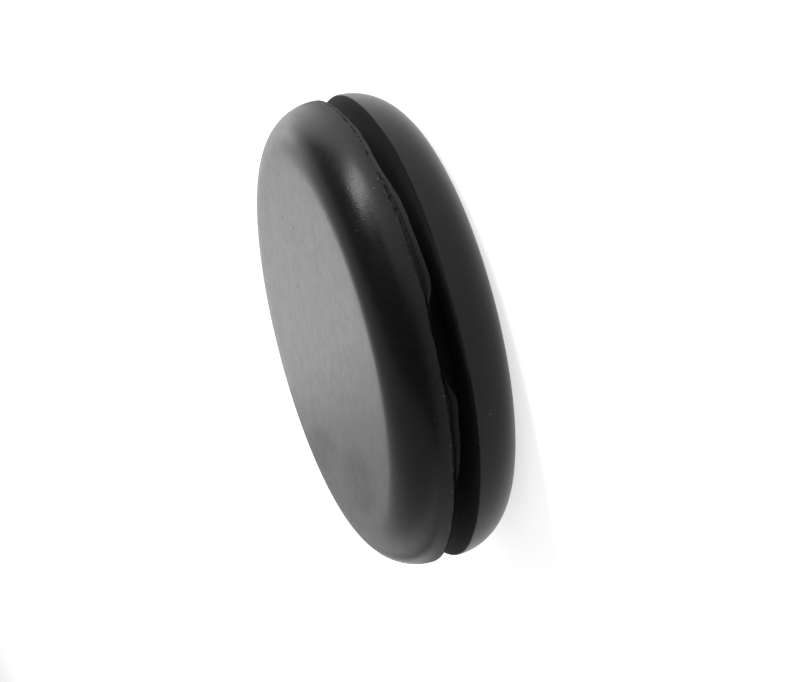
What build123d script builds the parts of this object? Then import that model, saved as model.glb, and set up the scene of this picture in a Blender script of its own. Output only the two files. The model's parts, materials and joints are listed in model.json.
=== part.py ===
from build123d import *
import math
import os

# Driving dimensions, in millimetres and degrees
neck_diameter = 25.4            # sits in a 1 inch panel hole
groove_width = 1.8              # takes a 1.6 mm panel with a little play
flange_lip = 3.8                # how far both flanges stand out past the neck
closed_flange_thickness = 3.5
open_flange_thickness = 3.7
edge_land = 0.1                 # straight band left on a flange between its round edge and the groove
web_thickness = 3.0             # rubber behind the closed face, across the recess
neck_wall = 3.2                 # rubber around the recess, at its mouth
recess_draft = 4.0              # lets the core of the mould pull out

# Sizes that follow from them
neck_radius = neck_diameter / 2
flange_radius = neck_radius + flange_lip
groove_floor = open_flange_thickness
groove_ceiling = groove_floor + groove_width
height = groove_ceiling + closed_flange_thickness
open_edge_round = open_flange_thickness - edge_land
closed_edge_round = closed_flange_thickness - edge_land
recess_depth = height - web_thickness
recess_mouth = neck_radius - neck_wall
recess_end = recess_mouth - recess_depth * math.tan(math.radians(recess_draft))


def half_section():
    with BuildSketch(Plane.XZ) as section:
        with BuildLine():
            # Out along the recess to the flat ring that the plug rests on
            open_side = Polyline(
                (0, recess_depth),
                (recess_end, recess_depth),
                (recess_mouth, 0),
                (flange_radius - open_edge_round, 0),
            )
            TangentArc(open_side @ 1, (flange_radius, open_edge_round), tangent=open_side % 1)
            # Into the groove, along the neck and out again
            groove = Polyline(
                (flange_radius, open_edge_round),
                (flange_radius, groove_floor),
                (neck_radius, groove_floor),
                (neck_radius, groove_ceiling),
                (flange_radius, groove_ceiling),
                (flange_radius, height - closed_edge_round),
            )
            TangentArc(groove @ 1, (flange_radius - closed_edge_round, height), tangent=groove % 1)
            # Across the closed face and back down the axis
            Polyline((flange_radius - closed_edge_round, height), (0, height), (0, recess_depth))
        make_face()
    return section.sketch


def blanking_plug():
    # One moulding, round about its axis, that stands on its open flange
    return revolve(half_section(), axis=Axis.Z)


os.makedirs("parts", exist_ok=True)
export_step(blanking_plug(), "parts/blanking_plug.step")
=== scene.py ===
import bpy
import bmesh
import json
import math
from mathutils import Matrix, Vector, noise


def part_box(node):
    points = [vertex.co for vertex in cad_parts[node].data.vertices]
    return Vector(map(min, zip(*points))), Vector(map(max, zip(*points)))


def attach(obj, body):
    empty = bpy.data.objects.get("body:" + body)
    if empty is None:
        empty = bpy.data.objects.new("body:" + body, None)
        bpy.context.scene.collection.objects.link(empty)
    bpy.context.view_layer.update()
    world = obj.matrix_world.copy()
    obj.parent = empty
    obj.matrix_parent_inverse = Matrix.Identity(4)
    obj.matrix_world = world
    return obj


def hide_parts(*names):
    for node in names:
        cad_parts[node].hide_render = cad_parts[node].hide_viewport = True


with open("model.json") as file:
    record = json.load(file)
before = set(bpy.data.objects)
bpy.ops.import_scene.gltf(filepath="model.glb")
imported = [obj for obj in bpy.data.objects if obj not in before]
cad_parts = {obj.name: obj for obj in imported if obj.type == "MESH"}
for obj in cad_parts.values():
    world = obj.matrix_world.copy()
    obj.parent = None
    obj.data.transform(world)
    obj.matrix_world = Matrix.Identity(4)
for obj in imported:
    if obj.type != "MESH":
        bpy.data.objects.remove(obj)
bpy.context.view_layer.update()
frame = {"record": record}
scene = bpy.context.scene
scene.view_settings.view_transform = "Standard"
mm = 0.001
same = 0.001 * mm                   # points nearer than this count as one


# helpers

def startEdit(obj):
    bpy.ops.object.select_all(action="DESELECT")
    obj.select_set(True)
    bpy.context.view_layer.objects.active = obj
    bpy.ops.object.mode_set(mode="EDIT")
    bpy.ops.mesh.select_all(action="DESELECT")


def pickVerts(obj, test):
    # selects the vertices whose distance from the axis and height pass the test
    bpy.ops.mesh.select_mode(type="VERT")
    bpy.ops.mesh.select_all(action="DESELECT")
    shape = bmesh.from_edit_mesh(obj.data)
    found = [v for v in shape.verts if test(math.hypot(v.co.x, v.co.y), v.co.z)]
    for v in found:
        v.select = True
    shape.select_flush_mode()
    bmesh.update_edit_mesh(obj.data)


def pickEdges(obj, test):
    # selects the edges whose both ends pass the test
    bpy.ops.mesh.select_mode(type="EDGE")
    bpy.ops.mesh.select_all(action="DESELECT")
    shape = bmesh.from_edit_mesh(obj.data)
    for edge in shape.edges:
        edge.select = all(test(math.hypot(v.co.x, v.co.y), v.co.z) for v in edge.verts)
    shape.select_flush_mode()
    bmesh.update_edit_mesh(obj.data)


def clamped(share):
    return min(1.0, max(0.0, share))


# the plug: one moulding, turned from its half outline

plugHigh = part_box("blanking_plug")[1]
panelGroove = next(m for m in frame["record"]["mounts"] if m["name"] == "panel_groove")

plug = {
    "steps": 640,                   # around the axis
    "flangeRadius": plugHigh.x,
    "height": plugHigh.z,
    "neckRadius": panelGroove["dims"]["r_mm"] * mm,
    "grooveWidth": panelGroove["dims"]["length_mm"] * mm,
    "grooveMiddle": panelGroove["pos_m"][2],
    "edgeLand": 0.1 * mm,
    "edgeSteps": 20,                # over the round edge of a flange
    "recessMouth": 9.5 * mm,
    "recessDepth": 6.0 * mm,
    "recessDraft": math.radians(4),
    "mouthRound": 0.4 * mm,
    "recessRound": 1.0 * mm,
    "grooveRootRound": 0.3 * mm,
    "grooveEdgeRound": 0.05 * mm,
    "roundSteps": {"mouth": 4, "recess": 6, "grooveRoot": 3, "grooveEdge": 2},
    "cuts": {"face": 12, "grooveFloor": 4, "grooveCeiling": 2},
    "wave": 0.010 * mm,             # how far the surfaces stray from true
    "waveLength": 7 * mm,
    "waveFrom": 3 * mm,             # height from which the wave is full
    "smoothBelow": math.radians(40),
    # the closed flange's lip, down to the edge of its flash, as millimetres in from the rim
    # and up from the groove's ceiling
    "lip": {
        "crease": (0.002, 0.088), "edge": (0.004, 0.075), "seam": (0.040, 0.060), "strip": (0.250, 0.045),
        "upper": (0.190, 0.030), "second": (0.130, 0.020), "lower": (0.080, 0.010), "tip": (0.010, -0.010),
    },
    "hollow": ("seam", "strip", "upper", "second", "lower"),    # the rings that lie behind the rim
    "flashTip": 0.12 * mm,          # thickness of the flash at its ragged edge
    "flashRoot": 0.45 * mm,         # from the rim to where the flash leaves the groove's ceiling
    "raggedFrom": 0.1,              # millimetres of flash from which its edge is fully ragged
    "seamDepth": 0.08 * mm,         # the parting line between the flange and its flash
    "seamShare": 0.6,               # of the flash, that the seam may come down
    "creaseShare": 0.5,             # of the seam's way down, that the crease above it follows
    "secondDepth": 0.064 * mm,
    "secondShare": 0.45,            # of the way from the seam to the flash's edge
    "bridgeInset": 0.008 * mm,      # from the rim, where the flash still hangs on the flange
    "bridgeEase": 0.5,              # how much shallower the crease is there
    "lipZone": {"in": 0.3 * mm, "below": 0.2 * mm, "above": 0.09 * mm},     # what is drawn
    # how far the flash, its seam and the open lip stand towards the floor,
    # as (degrees round the axis, millimetres)
    "flash": [
        (180, 0.00), (198, 0.00), (228, 0.03), (230, 0.27), (236, 0.45), (243, 0.57), (248, 0.68),
        (250, 0.70), (254, 0.22), (258, 0.09), (266, 0.06), (270, 0.15), (273, 0.23), (275, 0.55),
        (278, 0.76), (281, 0.79), (285, 0.74), (298, 0.69), (302, 0.58), (306, 0.42), (309, 0.34),
        (314, 0.32), (322, 0.38), (332, 0.24), (345, 0.14), (380, 0.18), (412, 0.26), (430, 0.10),
        (470, 0.20), (505, 0.05), (540, 0.00),
    ],
    "seam": [
        (180, 0.00), (240, 0.00), (252, 0.05), (262, 0.02), (281, 0.18), (290, 0.12), (295, 0.15),
        (297, 0.07), (309, 0.08), (312, 0.03), (325, 0.13), (332, 0.08), (360, 0.05), (540, 0.00),
    ],
    "openLip": [
        (180, 0.06), (186, 0.08), (195, 0.02), (205, -0.06), (221, -0.04), (237, 0.06), (242, 0.08),
        (252, 0.05), (257, -0.06), (276, -0.10), (283, 0.00), (290, 0.06), (303, 0.08), (315, 0.08),
        (325, -0.03), (338, -0.05), (360, 0.00), (420, 0.04), (470, -0.05), (520, 0.03), (540, 0.06),
    ],
    # where the flash has a second seam, and where it still hangs on the flange
    # so that its seam is a row of holes, as (degrees, share)
    "secondSeam": [(180, 0.0), (272, 0.0), (278, 1.0), (300, 1.0), (306, 0.0), (540, 0.0)],
    "bridges": [
        (180, 0.0), (278, 0.0), (290, 0.5), (300, 0.8), (308, 0.95), (350, 0.95), (380, 0.5), (440, 0.0),
        (540, 0.0),
    ],
    # dashes and bridges before chance adds to them
    "evenShare": {"dash": 0.05, "secondDash": 0.4, "bridge": 0.9},
    # what chance adds, as (size, waves per millimetre, layer), with the size of a form in millimetres
    "chance": {
        "openLip": (0.012, 2.1, 0),
        "flash": (0.04, 1.3, 0), "flashFine": (0.024, 3.7, 0),
        "seam": (0.02, 0.9, 7), "seamFine": (0.03, 3.6, 5), "second": (0.05, 0.7, 3),
        "dash": (2.0, 0.6, 11), "dashFine": (2.8, 3.3, 0),
        "secondDash": (1.5, 0.8, 0), "secondDashFine": (1.5, 3.1, 0),
        "hole": (2.5, 3.1, 9),
    },
}


def readRing(table, angle):
    degrees = math.degrees(angle) % 360
    if degrees < table[0][0]:
        degrees += 360
    for (a, low), (b, high) in zip(table, table[1:]):
        if a <= degrees <= b:
            return low + (high - low) * (degrees - a) / (b - a)
    return 0.0


def chance(name, spot):
    size, perMm, layer = plug["chance"][name]
    return size * noise.noise(spot * perMm + Vector((0, 0, layer)))


def drawOutline(points):
    # one vertex, extruded from corner to corner in the XZ plane
    bpy.ops.object.select_all(action="DESELECT")
    bpy.ops.mesh.primitive_plane_add(size=1 * mm)
    obj = bpy.context.object
    startEdit(obj)
    bpy.ops.mesh.select_all(action="SELECT")
    bpy.ops.mesh.merge(type="CENTER")
    here = Vector((0, 0, 0))
    for i, (r, z) in enumerate(points):
        step = Vector((r, 0, z)) - here
        if i == 0:
            bpy.ops.transform.translate(value=step)
        else:
            bpy.ops.mesh.extrude_region_move(TRANSFORM_OT_translate={"value": step})
        here += step
    return obj


def roundCorner(obj, corner, size, steps):
    r, z = corner
    pickVerts(obj, lambda vr, vz: math.hypot(vr - r, vz - z) < same)
    bpy.ops.mesh.bevel(offset=size, offset_type="OFFSET", segments=steps, affect="VERTICES", profile=0.5)


def cutStretch(obj, start, end, cuts):
    low = [min(a, b) - same for a, b in zip(start, end)]
    high = [max(a, b) + same for a, b in zip(start, end)]
    pickEdges(obj, lambda r, z: low[0] <= r <= high[0] and low[1] <= z <= high[1])
    bpy.ops.mesh.subdivide(number_cuts=cuts)


def dropOf(p, ring, angle, spot):
    # how far a ring of the closed lip is drawn down
    reach = readRing(p["flash"], angle)
    ragged = chance("flash", spot) + chance("flashFine", spot)
    reach = max(0.0, reach + ragged * min(1.0, reach / p["raggedFrom"])) * mm
    seam = readRing(p["seam"], angle) + chance("seam", spot) + chance("seamFine", spot)
    seam = min(max(0.0, seam) * mm, p["seamShare"] * reach)
    if ring == "crease":
        return p["creaseShare"] * seam
    if ring in ("edge", "seam", "strip"):
        return seam
    if ring in ("tip", "tipInside"):
        return reach
    second = (1 - p["secondShare"]) * seam + p["secondShare"] * reach + chance("second", spot) * mm
    return max(seam, min(reach, second))


def pushIn(p, lip, ring, angle, spot):
    # dashes along both seams go in, and the hollow is filled where the flash still hangs on the flange
    even = p["evenShare"]
    bridge = readRing(p["bridges"], angle)
    doubled = readRing(p["secondSeam"], angle)
    filled = bridge if ring in p["hollow"] else 0.0
    inward = 0.0
    if ring == "crease":
        dash = clamped(even["dash"] + chance("dash", spot) + chance("dashFine", spot))
        inward = p["seamDepth"] * dash * (1 - p["bridgeEase"] * bridge)
    if ring == "second":
        dash = clamped(even["secondDash"] + chance("secondDash", spot) + chance("secondDashFine", spot))
        inward = p["secondDepth"] * doubled * dash
        filled *= 1 - doubled
    if ring in ("seam", "strip"):
        filled *= clamped(even["bridge"] + chance("hole", spot))
    return inward - filled * (p["flangeRadius"] - p["bridgeInset"] - lip[ring][0])


def shapeLips(obj, p, lip):
    # both lips are drawn up or down, further in some places than in others
    outer = p["flangeRadius"]
    floorZ = p["grooveMiddle"] - p["grooveWidth"] / 2
    ceilZ = p["grooveMiddle"] + p["grooveWidth"] / 2
    zone = p["lipZone"]
    shape = bmesh.from_edit_mesh(obj.data)
    for v in shape.verts:
        r = math.hypot(v.co.x, v.co.y)
        if r < outer - zone["in"] or v.co.z < floorZ - zone["below"] or v.co.z > ceilZ + zone["above"]:
            continue
        angle = math.atan2(v.co.y, v.co.x)
        spot = Vector((v.co.x, v.co.y, 0)) / mm
        if v.co.z < p["grooveMiddle"]:
            near = min(1.0, (r - outer) / zone["in"] + 1.0)
            high = clamped((v.co.z - floorZ) / p["edgeLand"] + 1.0)
            v.co.z -= (readRing(p["openLip"], angle) + chance("openLip", spot)) * mm * near * high
            continue
        ring = min(lip, key=lambda name: math.hypot(lip[name][0] - r, lip[name][1] - v.co.z))
        v.co.z -= dropOf(p, ring, angle, spot)
        inward = pushIn(p, lip, ring, angle, spot)
        v.co.x *= 1 - inward / r
        v.co.y *= 1 - inward / r
    bmesh.update_edit_mesh(obj.data)


def buildPlug(p):
    outer = p["flangeRadius"]
    floorZ = p["grooveMiddle"] - p["grooveWidth"] / 2
    ceilZ = p["grooveMiddle"] + p["grooveWidth"] / 2
    openRound = floorZ - p["edgeLand"]
    closedRound = p["height"] - ceilZ - p["edgeLand"]
    recessEnd = p["recessMouth"] - p["recessDepth"] * math.tan(p["recessDraft"])

    closedCorner = (outer, p["height"])
    openCorner = (outer, 0)
    grooveTop = (p["neckRadius"], ceilZ)
    grooveBottom = (p["neckRadius"], floorZ)
    openLip = (outer, floorZ)
    mouth = (p["recessMouth"], 0)
    root = (recessEnd, p["recessDepth"])
    flashRoot = (outer - p["flashRoot"], ceilZ)
    lip = {name: (outer - inset * mm, ceilZ + lift * mm) for name, (inset, lift) in p["lip"].items()}
    lip["tipInside"] = (lip["tip"][0] - p["flashTip"], lip["tip"][1])
    obj = drawOutline([
        (0, p["height"]), closedCorner, (outer, ceilZ + p["edgeLand"]), *lip.values(), flashRoot,
        grooveTop, grooveBottom, openLip, openCorner, mouth, root, (0, p["recessDepth"]),
    ])
    obj.name = "moulded_plug"
    steps = p["roundSteps"]
    roundCorner(obj, closedCorner, closedRound, p["edgeSteps"])
    roundCorner(obj, openCorner, openRound, p["edgeSteps"])
    roundCorner(obj, grooveTop, p["grooveRootRound"], steps["grooveRoot"])
    roundCorner(obj, grooveBottom, p["grooveRootRound"], steps["grooveRoot"])
    roundCorner(obj, openLip, p["grooveEdgeRound"], steps["grooveEdge"])
    roundCorner(obj, mouth, p["mouthRound"], steps["mouth"])
    roundCorner(obj, root, p["recessRound"], steps["recess"])
    rootEnd = p["neckRadius"] + p["grooveRootRound"]
    cutStretch(obj, (0, p["height"]), (outer - closedRound, p["height"]), p["cuts"]["face"])
    cutStretch(obj, (rootEnd, floorZ), (outer - p["grooveEdgeRound"], floorZ), p["cuts"]["grooveFloor"])
    cutStretch(obj, (rootEnd, ceilZ), flashRoot, p["cuts"]["grooveCeiling"])

    bpy.ops.mesh.select_all(action="SELECT")
    bpy.ops.mesh.spin(steps=p["steps"], angle=2 * math.pi, center=(0, 0, 0), axis=(0, 0, 1))
    bpy.ops.mesh.select_all(action="SELECT")
    bpy.ops.mesh.remove_doubles(threshold=same)
    bpy.ops.mesh.normals_make_consistent(inside=False)
    print("plug turned")
    shapeLips(obj, p, lip)
    bpy.ops.object.mode_set(mode="OBJECT")
    print("lips drawn")

    # rubber is never quite true: a slow wave over all but the ring that it stands on
    loose = obj.vertex_groups.new(name="loose")
    for v in obj.data.vertices:
        loose.add([v.index], clamped(v.co.z / p["waveFrom"]), "REPLACE")
    clouds = bpy.data.textures.new("slowWave", "CLOUDS")
    clouds.noise_scale = p["waveLength"]
    bend = obj.modifiers.new("slow wave", "DISPLACE")
    bend.texture = clouds
    bend.texture_coords = "LOCAL"
    bend.vertex_group = "loose"
    bend.strength = p["wave"]
    bend.mid_level = 0.5
    bpy.context.view_layer.objects.active = obj
    obj.select_set(True)
    bpy.ops.object.modifier_apply(modifier=bend.name)
    obj.vertex_groups.clear()
    bpy.ops.object.shade_smooth_by_angle(angle=p["smoothBelow"])
    return obj


# materials

def addNode(tree, kind, place, **values):
    made = tree.nodes.new(kind)
    made.location = place
    for name, value in values.items():
        setattr(made, name, value)
    return made


rubber = {
    "colour": (0.0082, 0.0082, 0.0084, 1),
    "worn": (0.0100, 0.0100, 0.0100, 1),
    "groove": (0.020, 0.020, 0.020, 1),     # dull where nothing rubs it
    # painted shade: the flash strip under the closed lip is given a darker colour than the rubber
    "flash": (0.005, 0.005, 0.005, 1),
    "dust": (0.30, 0.30, 0.29, 1),
    "specular": 0.20,
    "roughness": 0.31,
    "roughnessSpread": 0.02,
    "rubRoughness": 0.065,          # added where the face is rubbed
    "lipRoughness": 0.25,           # added towards the closed flange's lip
    "grooveRoughness": 0.75,
    "mottle": {"perMm": 1.4, "detail": 4, "range": (0.25, 0.75)},
    "rubNoise": {"perMm": 0.5, "detail": 3, "range": (0.30, 0.70), "least": 0.45},
    "grain": {"perMm": 6.0, "detail": 2, "depth": 0.0045 * mm},
    "edgeGrain": {"perMm": 8.0, "detail": 1, "depth": 0.0065 * mm},
    # spots, as cells per millimetre, the share of cells that have one, and its radius in cells
    "pits": {"perMm": 0.9, "share": 0.20, "radius": 0.09, "depth": 0.02 * mm},
    "specks": {"perMm": 1.1, "share": 0.06, "radius": 0.055},
    "faintSpecks": {"perMm": 1.7, "share": 0.12, "radius": 0.11, "strength": 0.08},
    "lipSpecks": {"perMm": 3.0, "share": 0.35, "radius": 0.20, "strength": 0.4},
    "spotCore": 0.4,                # of a spot's radius, at full strength
    # borders that fade from the first number to the second, in millimetres
    "grooveIn": (0.10, 0.02),       # in from the rim
    "grooveWall": (0.05, 0.12),     # past the groove's floor and ceiling
    "flashUnder": (-0.06, 0.02),    # up from the groove's ceiling
    "flashIn": (0.05, 0.014),       # in from the rim
    "lipBand": (0.1, 1.5),          # up from the groove's ceiling
    "upperLip": {"up": 0.10, "spread": (0.06, 0.14)},       # from the groove's ceiling
    "lowerLip": {"up": -0.04, "spread": (0.05, 0.12)},      # from the groove's floor
    "faceEdge": (0.2, 0.1),         # down from the closed face
    "grainEdge": (1.3, 0.3),        # down from the closed face
    "neckMargin": 0.5,              # in from the neck, and everything further in is recess
    "dentDepth": 0.016 * mm,
    # on the closed face, as x, y, half width and half length in millimetres
    "dents": [
        (9.18, 1.28, 0.12, 0.40), (8.27, -0.85, 0.10, 0.30), (5.64, 1.90, 0.13, 0.42),
        (5.05, -4.59, 0.16, 0.32), (4.36, 2.11, 0.14, 0.55), (7.08, -2.30, 0.10, 0.30),
        (6.66, -3.05, 0.10, 0.30),
    ],
    "rubs": [(-7.1, 7.8, 2.2, 5.5), (-11.1, -0.5, 1.3, 4.5), (-9.1, -0.6, 2.4, 5.5)],
}


def makeRubber(r):
    mat = bpy.data.materials.new("mouldedRubber")
    mat.use_nodes = True
    tree = mat.node_tree
    links = tree.links
    shader = tree.nodes["Principled BSDF"]
    shader.inputs["Specular IOR Level"].default_value = r["specular"]
    rim = plug["flangeRadius"] / mm
    face = plug["height"] / mm
    middle = plug["grooveMiddle"] / mm
    halfWide = plug["grooveWidth"] / mm * 0.5
    ceiling = middle + halfWide

    def maths(operation, place, a, b=None, c=None):
        made = addNode(tree, "ShaderNodeMath", place, operation=operation)
        for i, part in enumerate((a, b, c)):
            if part is None:
                continue
            if isinstance(part, (int, float)):
                made.inputs[i].default_value = part
            else:
                links.new(part, made.inputs[i])
        return made.outputs[0]

    def ramp(part, place, low, high, toLow=0.0, toHigh=1.0):
        made = addNode(tree, "ShaderNodeMapRange", place, interpolation_type="SMOOTHSTEP")
        made.inputs["From Min"].default_value = low
        made.inputs["From Max"].default_value = high
        made.inputs["To Min"].default_value = toLow
        made.inputs["To Max"].default_value = toHigh
        links.new(part, made.inputs["Value"])
        return made.outputs["Result"]

    def fade(part, place, full, none):
        # 1 up to the first border, and 0 from the second on
        return ramp(part, place, full, none, 1.0, 0.0)

    def noiseAt(place, kind):
        made = addNode(tree, "ShaderNodeTexNoise", place)
        made.inputs["Scale"].default_value = kind["perMm"]
        made.inputs["Detail"].default_value = kind["detail"]
        links.new(where, made.inputs["Vector"])
        return made.outputs["Fac"]

    def grainAt(row, kind):
        return maths("MULTIPLY", (-900, row), noiseAt((-1100, row), kind), kind["depth"] / mm)

    def mixColour(place, share, a, b):
        made = addNode(tree, "ShaderNodeMix", place, data_type="RGBA")
        links.new(share, made.inputs["Factor"])
        for name, part in (("A", a), ("B", b)):
            if isinstance(part, tuple):
                made.inputs[name].default_value = part
            else:
                links.new(part, made.inputs[name])
        return made.outputs["Result"]

    def spots(place, kind):
        # round spots in some of the cells of a cell pattern, 1 at the middle of a spot
        left, top = place
        cells = addNode(tree, "ShaderNodeTexVoronoi", place)
        cells.inputs["Scale"].default_value = kind["perMm"]
        links.new(where, cells.inputs["Vector"])
        split = addNode(tree, "ShaderNodeSeparateColor", (left + 200, top - 80))
        links.new(cells.outputs["Color"], split.inputs["Color"])
        chosen = maths("LESS_THAN", (left + 400, top - 80), split.outputs["Red"], kind["share"])
        core = kind["radius"] * r["spotCore"]
        dot = fade(cells.outputs["Distance"], (left + 400, top + 80), core, kind["radius"])
        return maths("MULTIPLY", (left + 600, top), chosen, dot)

    def lipAt(row, height, spread):
        off = maths("ABSOLUTE", (-1600, row), maths("SUBTRACT", (-1750, row), z, height))
        return fade(off, (-1400, row), *spread)

    def patches(places, top):
        # soft ovals on the closed face, 1 in their middle
        joined = None
        for i, (px, py, wide, long) in enumerate(places):
            row = top - 160 * i
            dx = maths("DIVIDE", (-1700, row), maths("SUBTRACT", (-1850, row), x, px), wide)
            dy = maths("DIVIDE", (-1700, row - 80), maths("SUBTRACT", (-1850, row - 80), y, py), long)
            across = maths("MULTIPLY", (-1550, row), dx, dx)
            far = maths("MULTIPLY_ADD", (-1400, row - 40), dy, dy, across)
            one = fade(far, (-1250, row - 40), 0.0, 1.0)
            joined = one if joined is None else maths("MAXIMUM", (-1050, row - 40), joined, one)
        return maths("MULTIPLY", (-900, top), joined, onFace)

    # places on the plug, in millimetres
    coords = addNode(tree, "ShaderNodeTexCoord", (-2400, 0))
    inMm = addNode(tree, "ShaderNodeMapping", (-2200, 0))
    inMm.inputs["Scale"].default_value = (1 / mm, 1 / mm, 1 / mm)
    links.new(coords.outputs["Object"], inMm.inputs["Vector"])
    where = inMm.outputs["Vector"]
    axes = addNode(tree, "ShaderNodeSeparateXYZ", (-2000, 300))
    links.new(where, axes.inputs["Vector"])
    x, y, z = axes.outputs["X"], axes.outputs["Y"], axes.outputs["Z"]
    flat = addNode(tree, "ShaderNodeVectorMath", (-2000, 500), operation="MULTIPLY")
    flat.inputs[1].default_value = (1, 1, 0)
    links.new(where, flat.inputs[0])
    length = addNode(tree, "ShaderNodeVectorMath", (-1800, 500), operation="LENGTH")
    links.new(flat.outputs["Vector"], length.inputs[0])
    fromAxis = length.outputs["Value"]

    # the groove, from its lips inwards, without the recess
    inward = fade(fromAxis, (-1600, 500), rim - r["grooveIn"][0], rim - r["grooveIn"][1])
    outside = maths("GREATER_THAN", (-1600, 950), fromAxis, plug["neckRadius"] / mm - r["neckMargin"])
    off = maths("ABSOLUTE", (-1600, 350), maths("SUBTRACT", (-1750, 350), z, middle))
    level = fade(off, (-1400, 350), halfWide + r["grooveWall"][0], halfWide + r["grooveWall"][1])
    groove = maths("MULTIPLY", (-1200, 420), maths("MULTIPLY", (-1300, 550), inward, outside), level)
    # the hollow of the flash that stands into it, where the darker flash colour is painted shade under the
    # closed lip
    under = fade(z, (-1600, 650), ceiling + r["flashUnder"][0], ceiling + r["flashUnder"][1])
    above = maths("GREATER_THAN", (-1600, 800), z, middle)
    hollow = fade(fromAxis, (-1400, 600), rim - r["flashIn"][0], rim - r["flashIn"][1])
    flash = maths("MULTIPLY", (-1400, 700), maths("MULTIPLY", (-1500, 700), under, above), outside)
    flash = maths("MULTIPLY", (-1200, 700), flash, hollow)
    dull = maths("MAXIMUM", (-1000, 500), groove, flash)
    # the band above it on the closed flange
    band = fade(z, (-1400, 850), ceiling + r["lipBand"][0], ceiling + r["lipBand"][1])
    band = maths("MULTIPLY", (-1000, 850), maths("MULTIPLY", (-1200, 850), band, above), outside)
    # and both lips
    upperLip = lipAt(1250, ceiling + r["upperLip"]["up"], r["upperLip"]["spread"])
    lowerLip = lipAt(1400, middle - halfWide + r["lowerLip"]["up"], r["lowerLip"]["spread"])
    lips = maths("MULTIPLY", (-1050, 1300), maths("MAXIMUM", (-1200, 1300), upperLip, lowerLip), outside)

    # rubs and dents on the closed face
    onFace = ramp(z, (-1250, -700), face - r["faceEdge"][0], face - r["faceEdge"][1])
    broken = noiseAt((-1300, -850), r["rubNoise"])
    broken = ramp(broken, (-1100, -850), *r["rubNoise"]["range"], r["rubNoise"]["least"])
    rubbed = maths("MULTIPLY", (-750, -900), patches(r["rubs"], -900), broken)
    dents = patches(r["dents"], -1600)

    mottle = noiseAt((-1200, 200), r["mottle"])
    shade = ramp(mottle, (-1000, 200), *r["mottle"]["range"])
    faint = spots((-1400, 1600), r["faintSpecks"])
    faint = maths("MULTIPLY", (-750, 1500), faint, r["faintSpecks"]["strength"])
    onLips = maths("MULTIPLY", (-900, 1100), lips, r["lipSpecks"]["strength"])
    onLips = maths("MULTIPLY", (-750, 1000), spots((-1400, 1100), r["lipSpecks"]), onLips)
    dust = maths("MAXIMUM", (-700, 950), spots((-1400, 900), r["specks"]), faint)
    dust = maths("MAXIMUM", (-650, 950), dust, onLips)
    dust = maths("MULTIPLY", (-600, 900), dust, maths("SUBTRACT", (-750, 820), 1.0, dull))
    colour = mixColour((-800, 300), shade, r["colour"], r["worn"])
    colour = mixColour((-700, 350), groove, colour, r["groove"])
    # painted shade on the flash strip in the hollow under the closed lip
    colour = mixColour((-600, 350), flash, colour, r["flash"])
    colour = mixColour((-400, 400), dust, colour, r["dust"])
    links.new(colour, shader.inputs["Base Color"])

    least = r["roughness"] - r["roughnessSpread"]
    most = r["roughness"] + r["roughnessSpread"]
    rough = ramp(mottle, (-800, 0), *r["mottle"]["range"], least, most)
    rough = maths("MULTIPLY_ADD", (-600, 0), rubbed, r["rubRoughness"], rough)
    rough = maths("MULTIPLY_ADD", (-500, 0), band, r["lipRoughness"], rough)
    deep = addNode(tree, "ShaderNodeMix", (-400, 0), data_type="FLOAT")
    deep.inputs["B"].default_value = r["grooveRoughness"]
    links.new(dull, deep.inputs["Factor"])
    links.new(rough, deep.inputs["A"])
    links.new(deep.outputs["Result"], shader.inputs["Roughness"])

    # heights are in millimetres
    grain = grainAt(-300, r["grain"])
    below = fade(z, (-1100, -550), face - r["grainEdge"][0], face - r["grainEdge"][1])
    grain = maths("MULTIPLY_ADD", (-750, -450), grainAt(-450, r["edgeGrain"]), below, grain)
    pits = spots((-1700, -620), r["pits"])
    height = maths("MULTIPLY_ADD", (-700, -400), pits, -r["pits"]["depth"] / mm, grain)
    height = maths("MULTIPLY_ADD", (-500, -450), dents, -r["dentDepth"] / mm, height)
    bump = addNode(tree, "ShaderNodeBump", (-300, -300))
    bump.inputs["Strength"].default_value = 1.0
    bump.inputs["Distance"].default_value = 1 * mm
    links.new(height, bump.inputs["Height"])
    links.new(bump.outputs["Normal"], shader.inputs["Normal"])
    return mat


plugPiece = buildPlug(plug)
plugPiece.data.materials.clear()
plugPiece.data.materials.append(makeRubber(rubber))
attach(plugPiece, "root")
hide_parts("blanking_plug")
print("plug finished:", sum(len(f.vertices) - 2 for f in plugPiece.data.polygons), "triangles")


# camera, floor and light

view = {
    "imageSize": (800, 682),
    "faceCentre": (321.7, 344.8),   # pixel of the closed face's middle
    "pixelsPerRadius": 238.5,       # one flange radius, at the closed face
    "distanceInRadii": 16.67,
    "elevation": math.radians(13.42),
    "lean": math.radians(14.71),    # the axis points left in the picture, and this much down
    "sensor": 36.0,
    "clip": (0.01, 20),
}


def placeCamera(v):
    target = Vector((0, 0, plug["height"]))
    radius = plug["flangeRadius"]
    distance = v["distanceInRadii"] * radius
    back = Vector((0, -math.cos(v["elevation"]), math.sin(v["elevation"])))
    level = Vector((1, 0, 0))
    rise = back.cross(level)
    right = -math.sin(v["lean"]) * level - math.cos(v["lean"]) * rise
    up = math.cos(v["lean"]) * level - math.sin(v["lean"]) * rise
    place = target + back * distance
    offRight = (v["imageSize"][0] / 2 - v["faceCentre"][0]) / v["pixelsPerRadius"] * radius
    offUp = (v["faceCentre"][1] - v["imageSize"][1] / 2) / v["pixelsPerRadius"] * radius
    aim = target + right * offRight + up * offUp
    back = (place - aim).normalized()
    right = up.cross(back).normalized()
    up = back.cross(right)
    bpy.ops.object.camera_add(location=place)
    cam = bpy.context.object
    cam.rotation_euler = Matrix((right, up, back)).transposed().to_euler()
    cam.data.sensor_width = v["sensor"]
    cam.data.lens = v["pixelsPerRadius"] * v["distanceInRadii"] / v["imageSize"][0] * v["sensor"]
    cam.data.clip_start, cam.data.clip_end = v["clip"]
    scene.camera = cam


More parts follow.
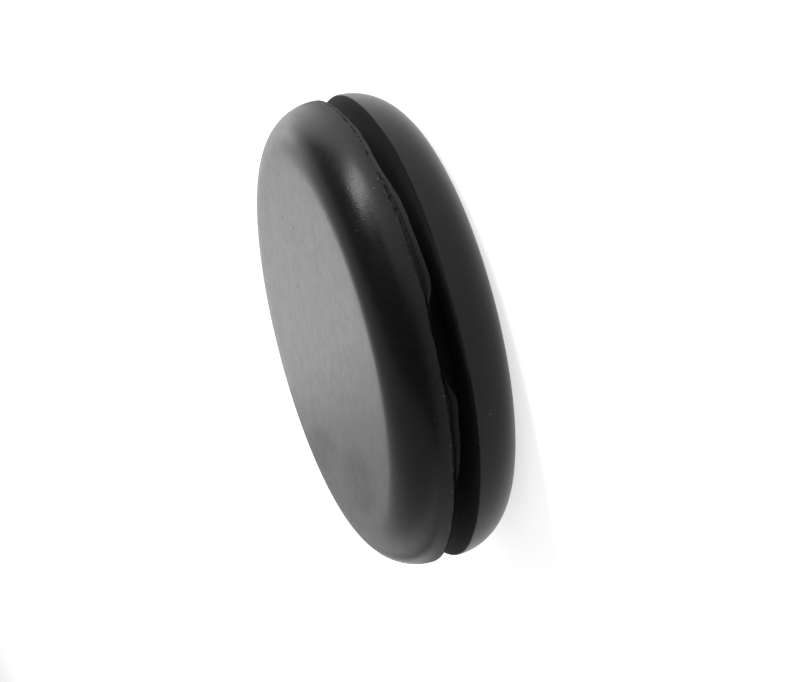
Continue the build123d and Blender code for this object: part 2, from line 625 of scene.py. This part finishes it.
floor = {
    "size": 3.0,
    "drop": 0.01 * mm,              # below the ring that the plug stands on
    "colour": (0.80, 0.80, 0.80, 1),
    "white": 0.70,                  # added to what the lamps give, for all but diffuse rays
}


def makeFloor(f):
    bpy.ops.object.select_all(action="DESELECT")
    bpy.ops.mesh.primitive_plane_add(size=f["size"], location=(0, 0, -f["drop"]))
    obj = bpy.context.object
    obj.name = "floor"
    mat = bpy.data.materials.new("paleFloor")
    mat.use_nodes = True
    tree = mat.node_tree
    tree.nodes.clear()
    out = addNode(tree, "ShaderNodeOutputMaterial", (600, 0))
    both = addNode(tree, "ShaderNodeAddShader", (400, 0))
    matte = addNode(tree, "ShaderNodeBsdfDiffuse", (100, 100))
    matte.inputs["Color"].default_value = f["colour"]
    white = addNode(tree, "ShaderNodeEmission", (100, -100))
    rays = addNode(tree, "ShaderNodeLightPath", (-600, -100))
    seen = addNode(tree, "ShaderNodeMath", (-400, -50), operation="MAXIMUM")
    seenAll = addNode(tree, "ShaderNodeMath", (-250, -100), operation="MAXIMUM")
    share = addNode(tree, "ShaderNodeMath", (-80, -100), operation="MULTIPLY")
    share.inputs[1].default_value = f["white"]
    tree.links.new(rays.outputs["Is Camera Ray"], seen.inputs[0])
    tree.links.new(rays.outputs["Is Glossy Ray"], seen.inputs[1])
    tree.links.new(seen.outputs[0], seenAll.inputs[0])
    tree.links.new(rays.outputs["Is Transmission Ray"], seenAll.inputs[1])
    tree.links.new(seenAll.outputs[0], share.inputs[0])
    tree.links.new(share.outputs[0], white.inputs["Strength"])
    tree.links.new(matte.outputs[0], both.inputs[0])
    tree.links.new(white.outputs[0], both.inputs[1])
    tree.links.new(both.outputs[0], out.inputs["Surface"])
    obj.data.materials.append(mat)


# turn is degrees from the camera's side towards +X, rise is degrees above the floor,
# distance and size are in metres, and glow is 1 for white
softboxes = {
    "key": {"turn": 73, "rise": 22.2, "distance": 0.146, "size": (0.028, 0.080), "glow": 25.0},
    "back": {"turn": 165, "rise": 17, "distance": 0.149, "size": (0.09, 0.086), "glow": 1.11},
    "farBack": {"turn": 124, "rise": 12, "distance": 0.35, "size": (0.472, 0.153), "glow": 1.68},
    "fill": {"turn": -128, "rise": 16, "distance": 0.2, "size": (0.588, 0.054), "glow": 0.61},
    "top": {"turn": -134, "rise": 46.8, "distance": 0.143, "size": (0.715, 0.26), "glow": 0.67},
    "side": {"turn": 42, "rise": 13, "distance": 0.179, "size": (0.14, 0.05), "glow": 2.1},
}
worldGlow = 0.01


def placeLights():
    middle = Vector((0, 0, plug["height"] / 2))
    for name, box in softboxes.items():
        turn, rise = math.radians(box["turn"]), math.radians(box["rise"])
        away = Vector((math.sin(turn) * math.cos(rise), -math.cos(turn) * math.cos(rise), math.sin(rise)))
        bpy.ops.object.light_add(type="AREA", location=middle + away * box["distance"])
        lamp = bpy.context.object
        lamp.name = name
        lamp.rotation_euler = away.to_track_quat("Z", "Y").to_euler()
        lamp.data.shape = "RECTANGLE"
        lamp.data.size, lamp.data.size_y = box["size"]
        lamp.data.energy = box["glow"] * math.pi * box["size"][0] * box["size"][1]
        lamp.visible_camera = False
    world = bpy.data.worlds.new("room")
    world.use_nodes = True
    sky = world.node_tree.nodes["Background"]
    sky.inputs["Color"].default_value = (1, 1, 1, 1)
    sky.inputs["Strength"].default_value = worldGlow
    scene.world = world


placeCamera(view)
makeFloor(floor)
placeLights()
print("camera, floor and lights placed")
